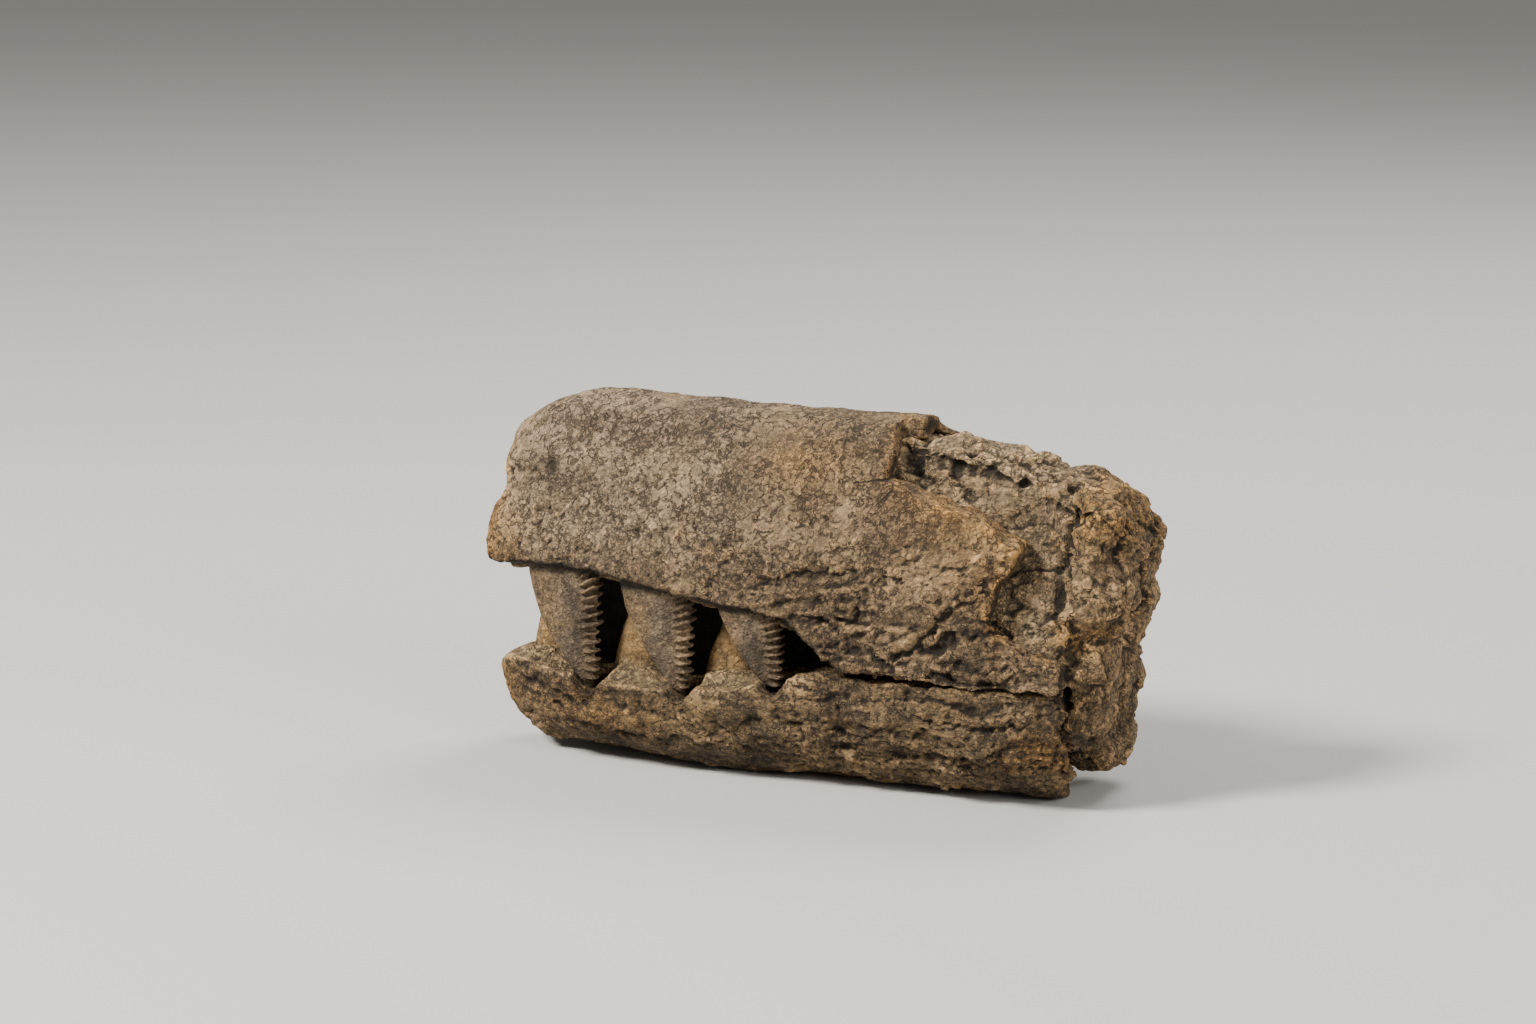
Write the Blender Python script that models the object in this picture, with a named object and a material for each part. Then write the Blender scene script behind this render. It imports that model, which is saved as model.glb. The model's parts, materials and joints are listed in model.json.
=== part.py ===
"""Fossil snout of a small, deep-jawed crocodile relative, with its jaws shut.

The snout points to -X, its left side faces -Y and it rests on the underside of
the lower jaw at z = 0.  Two jaw bones and twelve teeth are held together by
rock, which shows where the bone has broken away at the back.  All the values
below are in millimetres, and each mesh is written in metres.
"""

import math
import random

import bmesh
import bpy
from mathutils import Matrix, Vector, noise

MM = 0.001

# Driving dimensions of the whole fossil.
SNOUT_TIP = -49.6
CHIN_TIP = -47.0
JAW_BACK = 48.0
HALF_WIDTH = 18.5
GAP = 0.3

# Thickness of the jaw bone where it wraps the rock.
BONE_SIDE = 2.6
BONE_TOP = 3.4

# Where the rock inside the bone begins, and where the mouth closes.
CORE_FRONT = 5.0
MOUTH_BACK = 13.0

# The broken end of the rock, from its foot up: height, how far back it
# reaches, and its left and right edges.
END_FRONT = 40.5
END_ROWS = (
    (7.6, 48.0, -8.0, 9.0),
    (9.0, 49.6, -11.0, 12.0),
    (12.5, 50.8, -12.4, 13.4),
    (17.0, 51.4, -12.8, 13.8),
    (21.0, 51.8, -12.6, 13.6),
    (25.0, 52.6, -12.2, 12.8),
    (29.0, 53.6, -12.0, 12.6),
    (32.5, 54.6, -11.8, 12.8),
    (36.0, 54.4, -11.4, 12.2),
    (39.5, 54.0, -11.2, 11.4),
    (42.8, 52.4, -10.4, 9.8),
    (45.2, 49.8, -8.4, 7.6),
    (46.4, 46.8, -5.6, 5.0),
)

# A small lump of rock under it, against the end of the chin: centre, half sizes.
FOOT_LUMP = ((45.6, 4.6, 6.6), (5.0, 8.6, 3.4))


def profile(points):
    """A smooth curve through (x, value) points that never overshoots them."""
    xs = [p[0] for p in points]
    ys = [p[1] for p in points]
    rise = [(ys[i + 1] - ys[i]) / (xs[i + 1] - xs[i]) for i in range(len(xs) - 1)]
    slope = [rise[0]]
    for before, after in zip(rise, rise[1:]):
        flat = before * after <= 0
        slope.append(0.0 if flat else 2 * before * after / (before + after))
    slope.append(rise[-1])

    def value(x):
        x = min(max(x, xs[0]), xs[-1])
        i = max(k for k in range(len(xs) - 1) if xs[k] <= x)
        span = xs[i + 1] - xs[i]
        t = (x - xs[i]) / span
        return (
            ys[i] * (1 + 2 * t) * (1 - t) ** 2
            + slope[i] * span * t * (1 - t) ** 2
            + ys[i + 1] * t * t * (3 - 2 * t)
            + slope[i + 1] * span * t * t * (t - 1)
        )

    return value


# Plan view: half the width of the bone at its widest, from tip to back.
upper_half = profile([
    (SNOUT_TIP, 1.8), (-49.1, 4.6), (-47.9, 7.6), (-45.0, 10.4), (-40.0, 12.6),
    (-30.0, 14.6), (-15.0, 16.4), (0.0, 17.6), (20.0, HALF_WIDTH), (JAW_BACK, HALF_WIDTH),
])
lower_half = profile([
    (CHIN_TIP, 1.8), (-46.2, 4.4), (-44.6, 6.8), (-42.0, 9.0), (-38.0, 11.2),
    (-30.0, 13.4), (-15.0, 15.4), (0.0, 16.8), (20.0, 18.0), (40.0, 18.2), (JAW_BACK, 16.4),
])

# Side view: the ridge of the snout, the lip of the upper jaw, the rim of the
# lower jaw and its underside.
crest = profile([
    (SNOUT_TIP, 31.0), (-48.8, 35.6), (-46.6, 41.0), (-45.9, 46.2), (-44.0, 49.6),
    (-38.0, 52.6), (-31.0, 54.3), (-23.0, 55.0), (-9.0, 54.4), (19.0, 53.8), (JAW_BACK, 51.0),
])
lip = profile([
    (SNOUT_TIP, 28.4), (-44.0, 29.2), (-36.0, 30.3), (-30.0, 30.2), (-18.0, 28.8),
    (-9.0, 27.4), (0.0, 26.4), (5.5, 25.0), (MOUTH_BACK, 19.3), (20.0, 18.6), (30.0, 18.3), (JAW_BACK, 18.6),
])
rim = profile([
    (CHIN_TIP, 12.8), (-44.0, 14.2), (-41.0, 15.0), (-32.0, 14.0), (-18.0, 13.2), (-5.0, 14.6),
    (7.0, 17.2), (MOUTH_BACK, 17.9), (20.0, 17.8), (JAW_BACK, 18.2),
])
keel = profile([
    (CHIN_TIP, 10.0), (-46.4, 7.6), (-45.0, 5.2), (-42.0, 2.9), (-38.0, 1.5),
    (-30.0, 0.6), (-20.0, 0.1), (-12.0, -0.4), (38.0, -0.5), (46.0, 0.2), (JAW_BACK, 1.6),
])

# Side view of the break, from the ridge down to the seam between the jaws.
LEFT_BREAK = [
    (17.0, 60.0), (17.2, 52.0), (18.6, 49.4), (18.0, 46.2), (25.6, 43.8), (35.2, 40.4),
    (39.0, 38.4), (39.0, 36.2), (36.4, 33.0), (36.0, 30.0), (35.0, 26.8), (39.0, 25.0),
    (43.6, 24.0), (47.0, 22.6), (46.0, 17.0),
]
RIGHT_BREAK = [
    (20.6, 60.0), (20.4, 51.2), (25.5, 48.6), (24.0, 44.6), (31.0, 40.0), (33.0, 36.6),
    (29.0, 33.0), (33.5, 28.6), (38.0, 26.4), (37.0, 22.4), (40.0, 17.0),
]

# Plan view of what is lost from the end of the chin, mostly on the right.
CHIN_END = [
    (46.6, -30.0), (46.6, -15.4), (44.8, -10.0), (43.6, -3.0), (41.2, 3.0),
    (38.6, 9.0), (35.4, 14.0), (34.2, 30.0), (60.0, 30.0), (60.0, -30.0),
]


def bezier(start, out, into, end, t):
    """A point on a cubic curve from start to end."""
    parts = ((1 - t) ** 3, 3 * t * (1 - t) ** 2, 3 * t * t * (1 - t), t ** 3)
    return [sum(k * p[axis] for k, p in zip(parts, (start, out, into, end))) for axis in (0, 1)]


def spread(low, high, step):
    """Values from low to high, about step apart."""
    count = max(1, round((high - low) / step))
    return [low + (high - low) * i / count for i in range(count + 1)]


def material(name, colour, roughness):
    made = bpy.data.materials.new(name)
    made.use_nodes = True
    shader = made.node_tree.nodes["Principled BSDF"]
    shader.inputs["Base Color"].default_value = (*colour, 1.0)
    shader.inputs["Roughness"].default_value = roughness
    return made


def solid(name, rings, finish):
    """A closed body through rings of points, with a flat face at each end."""
    mesh = bpy.data.meshes.new(name)
    shape = bmesh.new()
    rows = [[shape.verts.new(Vector(p) * MM) for p in ring] for ring in rings]
    for row, after in zip(rows, rows[1:]):
        for i in range(len(row)):
            j = (i + 1) % len(row)
            shape.faces.new((row[i], row[j], after[j], after[i]))
    shape.faces.new(rows[0])
    shape.faces.new(rows[-1])
    bmesh.ops.recalc_face_normals(shape, faces=shape.faces)
    bmesh.ops.triangulate(shape, faces=shape.faces, quad_method="SHORT_EDGE")
    shape.to_mesh(mesh)
    shape.free()
    made = bpy.data.objects.new(name, mesh)
    bpy.context.scene.collection.objects.link(made)
    mesh.materials.append(finish)
    return made


def roughen(body, depth, size, seed, where=lambda point: 1.0):
    """Moves the surface in and out by lumps of about this size."""
    shape = bmesh.new()
    shape.from_mesh(body.data)
    shape.normal_update()
    shift = Vector((seed * 7.3, seed * 3.1, seed * 5.7))
    moves = []
    for vertex in shape.verts:
        point = vertex.co / MM
        lump = noise.fractal(point / size + shift, 0.9, 2.1, 3)
        moves.append(vertex.normal * lump * depth * where(point) * MM)
    for vertex, move in zip(shape.verts, moves):
        vertex.co += move
    shape.to_mesh(body.data)
    shape.free()


def combine(body, other, operation):
    """Boolean of two solids.  The second one is used up."""
    step = body.modifiers.new(operation.lower(), "BOOLEAN")
    step.operation = operation
    step.object = other
    graph = bpy.context.evaluated_depsgraph_get()
    mesh = bpy.data.meshes.new_from_object(body.evaluated_get(graph))
    body.modifiers.remove(step)
    body.data = mesh
    bpy.data.objects.remove(other)


def grown(body, by):
    """Lets a solid's surface stand out by this much."""
    shape = bmesh.new()
    shape.from_mesh(body.data)
    shape.normal_update()
    for vertex in shape.verts:
        vertex.co += vertex.normal * min(vertex.calc_shell_factor(), 1.4) * by * MM
    shape.to_mesh(body.data)
    shape.free()
    return body


def prism(outline, y_low, y_high, finish):
    """The outline in the side view, carried straight across from y_low to y_high."""
    rings = [[(x, y, z) for x, z in outline] for y in (y_low, y_high)]
    return solid("cutter", rings, finish)


def prism_down(outline, finish):
    """The outline in the plan view, carried straight down through the fossil."""
    rings = [[(x, y, z) for x, y in outline] for z in (-10.0, 40.0)]
    return solid("cutter", rings, finish)


def jagged(line, step, depth, seed):
    """A broken edge: the line with small uneven teeth between its points."""
    draw = random.Random(seed)
    out = [line[0]]
    for (x0, z0), (x1, z1) in zip(line, line[1:]):
        length = math.hypot(x1 - x0, z1 - z0)
        parts = max(1, round(length / step))
        for i in range(1, parts):
            off = draw.uniform(-depth, depth)
            t = i / parts
            out.append((x0 + (x1 - x0) * t + off * (z1 - z0) / length,
                        z0 + (z1 - z0) * t - off * (x1 - x0) / length))
        out.append((x1, z1))
    return out


def arch(wide, low, high, shoulder, steps):
    """Half of an arched section, from the foot of one side up to the ridge."""
    return [
        (wide * y, low + (high - low) * z)
        for y, z in (bezier((1, 0), (0.97, 0.36), (shoulder, 1), (0, 1), i / steps)
                     for i in range(steps + 1))
    ]


def arched_ring(x, wide, low, high, shoulder, foot=0.0, steps=9, floor_steps=4):
    """An arch on a flat floor, as one closed ring.  A foot carries both sides
    straight down below the arch."""
    left = arch(wide, low, high, shoulder, steps)
    ring = [(x, -y, z) for y, z in left]
    ring += [(x, y, z) for y, z in reversed(left[:-1])]
    inner = range(floor_steps + 1) if foot else range(1, floor_steps)
    ring += [(x, wide * (1 - 2 * i / floor_steps), low - foot) for i in inner]
    return ring


def nose_hollow(x, z):
    """How far the front of the snout stands back, below the bulge over the nostril."""
    near = min(max((-40.0 - x) / 4.0, 0.0), 1.0)
    return 1.9 * near * math.exp(-((z - 40.0) / 3.0) ** 2)


def make_upper_jaw(finish):
    """Snout bone: an arch on a flat palate, blunt in front."""
    shoulder = profile([(SNOUT_TIP, 0.35), (-44.0, 0.5), (-30.0, 0.66), (-5.0, 0.78), (JAW_BACK, 0.78)])
    stations = [SNOUT_TIP, -49.5, -48.6, -47.4, -46.5, -46.1, -45.5, -44.2, -42.2, -40.0]
    stations += spread(-37.0, 5.0, 3.0)
    stations += spread(7.5, JAW_BACK, 2.7)
    rings = [[(x + nose_hollow(x, z), y, z) for x, y, z in
              arched_ring(x, upper_half(x), lip(x), crest(x), shoulder(x))] for x in stations]
    jaw = solid("upper_jaw", rings, finish)
    roughen(jaw, 0.7, 11.0, 2, lambda p: 0.0 if p.z < lip(p.x) + 0.3 else 1.0)
    return jaw


def make_lower_jaw(finish):
    """Chin bone: flat on top where it meets the bite, round below, worn flat at its lowest."""
    steps = 8
    stations = [CHIN_TIP, -46.6, -45.8, -44.6, -43.0, -41.0, -38.6]
    stations += spread(-36.0, JAW_BACK - 2.0, 3.0) + [JAW_BACK - 0.8, JAW_BACK]
    rings = []
    for x in stations:
        crease = math.exp(-((x - 13.8) / 2.0) ** 2)
        wide, top, low = lower_half(x) - 0.9 * crease, rim(x), keel(x)
        half = [bezier((wide, top), (wide * 1.04, top * 0.52 + low * 0.48), (wide * 0.74, low), (0, low), i / steps)
                for i in range(steps + 1)]
        half = [(y, max(z, 0.0)) for y, z in half]
        ring = [(x, y, z) for y, z in half]
        ring += [(x, -y, z) for y, z in reversed(half[:-1])]
        ring += [(x, wide * (2 * i / 4 - 1), top) for i in range(1, 4)]
        rings.append(ring)
    jaw = solid("lower_jaw", rings, finish)
    roughen(jaw, 0.7, 10.0, 5,
            lambda p: 0.0 if p.z < 0.5 or p.z > rim(p.x) - 0.3 else 1.0)
    return jaw


def rock_lump(finish, extra=0.0):
    """A rounded lump of rock with an uneven skin."""
    centre, size = FOOT_LUMP
    mesh = bpy.data.meshes.new("lump")
    shape = bmesh.new()
    bmesh.ops.create_icosphere(shape, subdivisions=2, radius=1.0)
    for vertex in shape.verts:
        blocky = [math.copysign(abs(c) ** 0.72, c) * (s + extra) for c, s in zip(vertex.co, size)]
        vertex.co = (Vector(centre) + Vector(blocky)) * MM
    shape.to_mesh(mesh)
    shape.free()
    lump = bpy.data.objects.new("lump", mesh)
    bpy.context.scene.collection.objects.link(lump)
    mesh.materials.append(finish)
    roughen(lump, 0.9, 5.0, 24)
    return lump


def rock_end(finish, extra=0.0):
    """The broken end of the rock: one upright mass with blunt corners."""
    sides = 20
    rings = []
    for i, (z, back, left, right) in enumerate(END_ROWS):
        half_x, half_y = (back - END_FRONT) / 2 + extra, (right - left) / 2 + extra
        z += extra * ((i == len(END_ROWS) - 1) - (i == 0))
        ring = []
        for k in range(sides):
            c, s = math.cos(2 * math.pi * k / sides), math.sin(2 * math.pi * k / sides)
            ring.append(((back + END_FRONT) / 2 + half_x * math.copysign(abs(c) ** 0.6, c),
                         (left + right) / 2 + half_y * math.copysign(abs(s) ** 0.6, s), z))
        rings.append(ring)
    end = solid("end", rings, finish)
    roughen(end, 2.0, 6.0, 21, lambda p: 0.4 + 0.6 * min(max((p.z - 18.0) / 3.0, 0.0), 1.0))
    return end


def ledge(x, z):
    """How far the bare rock stands out: more in the band above a sloping line,
    less in the hollow below it."""
    above = min(max((z - (47.0 - 0.28 * (x - 22.0))) / 1.6 + 0.5, 0.0), 1.0)
    below = min(max((z - 25.0) / 8.0, 0.0), 1.0)
    return 0.09 * above - 0.07 * (1.0 - above) * below


def rock_core(finish, extra=0.0):
    """The rock inside the snout.  With extra, it is the slightly larger pocket
    that the bone keeps free for it."""
    bare_from = 15.0
    start = CORE_FRONT - extra
    rings = []
    stations = [start] + spread(CORE_FRONT + 3.0, JAW_BACK - 1.5, 3.0)
    if extra:
        stations.append(JAW_BACK + 2.0)
    for x in stations:
        bare = min(max((x - bare_from) / 12.0, 0.0), 1.0)
        wide = upper_half(x) - BONE_SIDE + extra
        low = max(lip(x), rim(x) + GAP) - extra
        high = crest(x) - BONE_TOP + bare * (2.2 - 3.0 * max(0.0, (x - 22.0) / 24.0)) + extra
        rings.append(arched_ring(x, wide, low, high, 0.74 - 0.34 * bare, 3.0 * extra))
        rings[-1] = [(x, y * (1 + bare * ledge(x, z)), z) for x, y, z in rings[-1]]
    core = solid("rock", rings, finish)
    roughen(core, 1.5, 6.5, 11, lambda p: 0.0 if p.z < 20.0 else min(max((p.x - 14.0) / 6.0, 0.0), 1.0))
    return core


def rock_tongue(finish):
    """The rock between the tooth rows, from the core forward."""
    front, half_width, meet = -32.5, 5.2, 0.4
    rings = []
    for x in spread(front, CORE_FRONT - meet, 4.0) + spread(CORE_FRONT + meet, MOUTH_BACK + 4.0, 4.0):
        half = half_width * (0.5 + 0.5 * min((x - front) / 12.0, 1.0))
        low = rim(x) + GAP
        high = lip(x) - GAP if x < CORE_FRONT else lip(x) + 1.5
        rings.append([(x, -half, low), (x, half, low), (x, half, high), (x, -half, high)])
    return solid("tongue", rings, finish)


def make_rock(finish):
    """Rock: it fills the snout behind the mouth, runs forward between the
    tooth rows, and stands bare and lumpy at the back."""
    rock = rock_core(finish)
    combine(rock, rock_tongue(finish), "UNION")
    combine(rock, rock_end(finish), "UNION")
    combine(rock, rock_lump(finish), "UNION")
    return rock


def make_tooth(name, side, front, back, tip, root_z, tip_z, inset, thick, saw, finish):
    """A pointed tooth from root_z to tip_z.  Its front edge sweeps back to the
    tip, and its back edge, nearly straight, carries this many saw teeth.

    side is -1 on the left and 1 on the right; inset is how far its cheek
    stands in from the widest line of the snout."""
    blunt_from, tip_half, saw_depth, saw_from, sides = 0.88, 1.5, 0.6, 0.2, 8
    rows = 2 * saw + 4 if saw else 7
    rings = []
    for i in range(rows + 1):
        s = i / rows
        cap = 1.0 if s < blunt_from else math.sqrt(1 - ((s - blunt_from) / (1 - blunt_from)) ** 2)
        full = 0.25 + 0.75 * cap
        fore = front + (tip - tip_half - front) * s ** 2.1
        aft = back + (tip + tip_half - back) * s ** 0.7
        half = (aft - fore) / 2 * full
        deep = thick / 2 * (1 - 0.72 * s ** 1.5) * full
        bite = saw_depth if saw and i % 2 == 1 and s > saw_from else 0.0
        ring = []
        for k in range(sides):
            angle = 2 * math.pi * k / sides
            x = (fore + aft) / 2 + math.cos(angle) * half + bite * max(0.0, math.cos(angle)) ** 2
            middle_y = side * (upper_half(x) - inset - thick / 2)
            ring.append((x, middle_y + math.sin(angle) * deep * (1 - 0.28 * math.cos(angle)),
                         root_z + (tip_z - root_z) * s))
        rings.append(ring)
    return solid(name, rings, finish)


def make_teeth(upper, lower, finish):
    """Three upper and three lower teeth on each side, seated in the bone.

    Each row below holds a tooth's front, back and tip places along the snout,
    its tip height or the room over its tip, its thickness and its saw teeth."""
    root, saw_room = 2.4, 0.6
    upper_rows = (
        ("front", -38.6, -25.2, -26.4, 12.9, 4.6, 12),
        ("middle", -22.6, -9.4, -11.2, 13.4, 4.8, 12),
        ("back", -6.2, 4.4, 3.0, 15.4, 4.4, 10),
    )
    lower_rows = (
        ("front", -41.6, -34.4, -37.0, 2.0, 3.8),
        ("middle", -27.0, -17.6, -20.6, 2.0, 4.0),
        ("back", -11.6, -2.6, -5.4, 2.0, 4.0),
    )
    for side, word in ((-1, "left"), (1, "right")):
        for where, front, back, tip, tip_z, thick, saw in upper_rows:
            middle = (front + back) / 2
            build = (side, front, back, tip, lip(middle) + root, tip_z, 1.5, thick)
            make_tooth(f"upper_{word}_tooth_{where}", *build, saw, finish)
            for jaw, room in ((upper, GAP), (lower, GAP + saw_room)):
                combine(jaw, grown(make_tooth("socket", *build, 0, finish), room), "DIFFERENCE")
        for where, front, back, tip, room, thick in lower_rows:
            middle = (front + back) / 2
            build = (side, front, back, tip, rim(middle) - root, lip(middle) - room, 6.2, thick)
            make_tooth(f"lower_{word}_tooth_{where}", *build, 0, finish)
            combine(lower, grown(make_tooth("socket", *build, 0, finish), GAP), "DIFFERENCE")


def break_away(upper, finish):
    """Takes the lost bone off the back of the upper jaw, one side at a time."""
    ridge = -2.0
    for line, y_low, y_high, clear, seed in (
        (LEFT_BREAK, -30.0, ridge, 60.0, 3),
        (RIGHT_BREAK, ridge - 0.3, 30.0, 62.0, 4),
    ):
        outline = jagged(line, 2.6, 0.7, seed) + [(clear, 16.0), (clear, line[0][1] + 2.0)]
        combine(upper, prism(outline, y_low, y_high, finish), "DIFFERENCE")


def recentre(largest):
    """Puts the middle of the fossil over the origin, with its underside at z = 0."""
    corners = [v.co for body in largest for v in body.data.vertices]
    low = [min(c[axis] for c in corners) for axis in (0, 1, 2)]
    high = [max(c[axis] for c in corners) for axis in (0, 1, 2)]
    shift = Vector(((low[0] + high[0]) / -2, (low[1] + high[1]) / -2, -low[2]))
    for body in bpy.data.objects:
        body.data.transform(Matrix.Translation(shift))


def main():
    for old in list(bpy.data.objects):
        bpy.data.objects.remove(old)
    bone = material("jaw_bone", (0.25, 0.185, 0.12), 0.8)
    dark_bone = material("chin_bone", (0.19, 0.14, 0.085), 0.82)
    stone = material("rock", (0.23, 0.18, 0.12), 0.9)
    enamel = material("teeth", (0.27, 0.20, 0.125), 0.6)

    rock = make_rock(stone)
    upper = make_upper_jaw(bone)
    lower = make_lower_jaw(dark_bone)
    combine(upper, rock_core(stone, 1.5 * GAP), "DIFFERENCE")
    break_away(upper, bone)
    combine(lower, prism_down(CHIN_END, dark_bone), "DIFFERENCE")
    combine(lower, rock_end(stone, 1.5 * GAP), "DIFFERENCE")
    combine(lower, rock_lump(stone, 1.5 * GAP), "DIFFERENCE")
    make_teeth(upper, lower, enamel)
    recentre([rock, upper, lower])


main()
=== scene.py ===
"""Looks of the fossil snout: weathered bone, bare rock and saw-edged teeth.

Lengths in the code are in millimetres unless a name says otherwise, in the
frame of the solids: the snout points to -X and its left side faces -Y.
"""

import json
import math

import bmesh
import bpy
import numpy as np
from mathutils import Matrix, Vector

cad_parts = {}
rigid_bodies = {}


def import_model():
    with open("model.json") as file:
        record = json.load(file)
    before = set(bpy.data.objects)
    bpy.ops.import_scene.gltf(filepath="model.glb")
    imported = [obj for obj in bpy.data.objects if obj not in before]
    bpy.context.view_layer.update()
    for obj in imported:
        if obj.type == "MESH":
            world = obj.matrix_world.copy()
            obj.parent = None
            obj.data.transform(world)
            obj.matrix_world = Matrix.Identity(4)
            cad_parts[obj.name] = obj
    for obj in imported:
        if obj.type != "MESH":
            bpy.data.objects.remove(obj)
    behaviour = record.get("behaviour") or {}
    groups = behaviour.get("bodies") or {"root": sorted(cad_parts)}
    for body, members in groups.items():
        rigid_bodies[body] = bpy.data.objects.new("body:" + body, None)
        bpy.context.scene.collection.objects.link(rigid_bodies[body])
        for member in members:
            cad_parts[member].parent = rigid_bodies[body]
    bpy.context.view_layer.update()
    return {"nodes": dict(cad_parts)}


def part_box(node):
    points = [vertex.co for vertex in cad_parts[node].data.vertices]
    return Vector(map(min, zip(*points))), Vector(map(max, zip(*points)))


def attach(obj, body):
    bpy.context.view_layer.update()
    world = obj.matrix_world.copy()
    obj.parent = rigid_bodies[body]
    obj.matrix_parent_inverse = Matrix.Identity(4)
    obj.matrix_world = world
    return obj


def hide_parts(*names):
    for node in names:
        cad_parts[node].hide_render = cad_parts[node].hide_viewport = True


MM = 0.001

for left_over in list(bpy.data.objects):
    bpy.data.objects.remove(left_over)
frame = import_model()

# The curves below were set out with the snout's tip at x = -50; the solids
# stand this much further forward.
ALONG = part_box("upper_left_tooth_front")[0].x / MM + 38.6


# ---------------------------------------------------------------- node trees

GEOMETRY, COLOUR, NUMBER = "NodeSocketGeometry", "NodeSocketColor", "NodeSocketFloat"
HALF_GREY = (0.5, 0.5, 0.5)
WEAR_FORMS = ("Lump", "Flake", "Pit", "Grain", "Crinkle")
# Waves of noise a metre: torn edges, bent chips, where creases gather, pale
# scratches and the wander of a crack.
TORN, BENT, GATHERED, SCRATCHED, WANDERED = 420.0, 170.0, 330.0, 1400.0, 500.0


class Wiring:
    """Short ways to add and join nodes in one tree."""

    def __init__(self, tree):
        self.tree = tree

    def node(self, kind, **settings):
        made = self.tree.nodes.new(kind)
        inputs = settings.pop("inputs", {})
        for name, value in settings.items():
            setattr(made, name, value)
        for key, value in inputs.items():
            self.feed(made.inputs[key], value)
        return made

    def feed(self, socket, value):
        if isinstance(value, bpy.types.NodeSocket):
            self.tree.links.new(value, socket)
        else:
            socket.default_value = value

    def math(self, operation, *values, clamp=False):
        made = self.node("ShaderNodeMath", operation=operation, use_clamp=clamp)
        for i, value in enumerate(values):
            self.feed(made.inputs[i], value)
        return made.outputs[0]

    def times(self, first, second):
        return self.math("MULTIPLY", first, second)

    def plus(self, first, second, clamp=False):
        return self.math("ADD", first, second, clamp=clamp)

    def minus(self, first, second):
        return self.math("SUBTRACT", first, second)

    def over(self, first, second, clamp=False):
        return self.math("DIVIDE", first, second, clamp=clamp)

    def vector(self, operation, *values, scale=None):
        made = self.node("ShaderNodeVectorMath", operation=operation)
        for i, value in enumerate(values):
            self.feed(made.inputs[i], value)
        if scale is not None:
            self.feed(made.inputs["Scale"], scale)
        return made.outputs["Value" if operation == "DOT_PRODUCT" else "Vector"]

    def noise(self, place, scale, detail=3.0, rough=0.55, distortion=0.0):
        """A fractal noise value, 0.5 on average."""
        return self.node("ShaderNodeTexNoise", inputs={
            "Vector": place, "Scale": scale, "Detail": detail, "Roughness": rough,
            "Distortion": distortion}).outputs[0]

    def drift(self, place, scale, detail, reach):
        """A shift that wanders either way, by half of reach at most."""
        made = self.node("ShaderNodeTexNoise",
                         inputs={"Vector": place, "Scale": scale, "Detail": detail})
        return self.vector("SCALE", self.vector("SUBTRACT", made.outputs["Color"], HALF_GREY),
                           scale=reach)

    def ramp(self, value, low, high, to_low=0.0, to_high=1.0):
        made = self.node("ShaderNodeMapRange", clamp=True, interpolation_type="SMOOTHSTEP")
        for key, item in zip(("Value", "From Min", "From Max", "To Min", "To Max"),
                             (value, low, high, to_low, to_high)):
            self.feed(made.inputs[key], item)
        return made.outputs["Result"]

    def mix(self, factor, first, second, blend="MIX"):
        made = self.node("ShaderNodeMix", data_type="RGBA", blend_type=blend)
        made.clamp_factor = True
        self.feed(made.inputs["Factor"], factor)
        self.feed(made.inputs[6], first)
        self.feed(made.inputs[7], second)
        return made.outputs[2]


def new_tree(name, kind, inputs, outputs):
    """A node tree with named inputs and outputs, its wiring, and the sockets
    that it starts from and ends at."""
    tree = bpy.data.node_groups.new(name, kind)
    for label, socket_kind, value in inputs:
        socket = tree.interface.new_socket(label, in_out="INPUT", socket_type=socket_kind)
        if value is not None:
            socket.default_value = value
    for label, socket_kind in outputs:
        tree.interface.new_socket(label, in_out="OUTPUT", socket_type=socket_kind)
    w = Wiring(tree)
    start, end = w.node("NodeGroupInput"), w.node("NodeGroupOutput")
    return tree, w, start.outputs, end.inputs


def dress(w, geometry, start, end):
    """Ends a tree: instances are made real and get the material."""
    real = w.node("GeometryNodeRealizeInstances", inputs={"Geometry": geometry}).outputs[0]
    dressed = w.node("GeometryNodeSetMaterial",
                     inputs={"Geometry": real, "Material": start["Material"]})
    w.feed(end["Geometry"], dressed.outputs[0])


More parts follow.
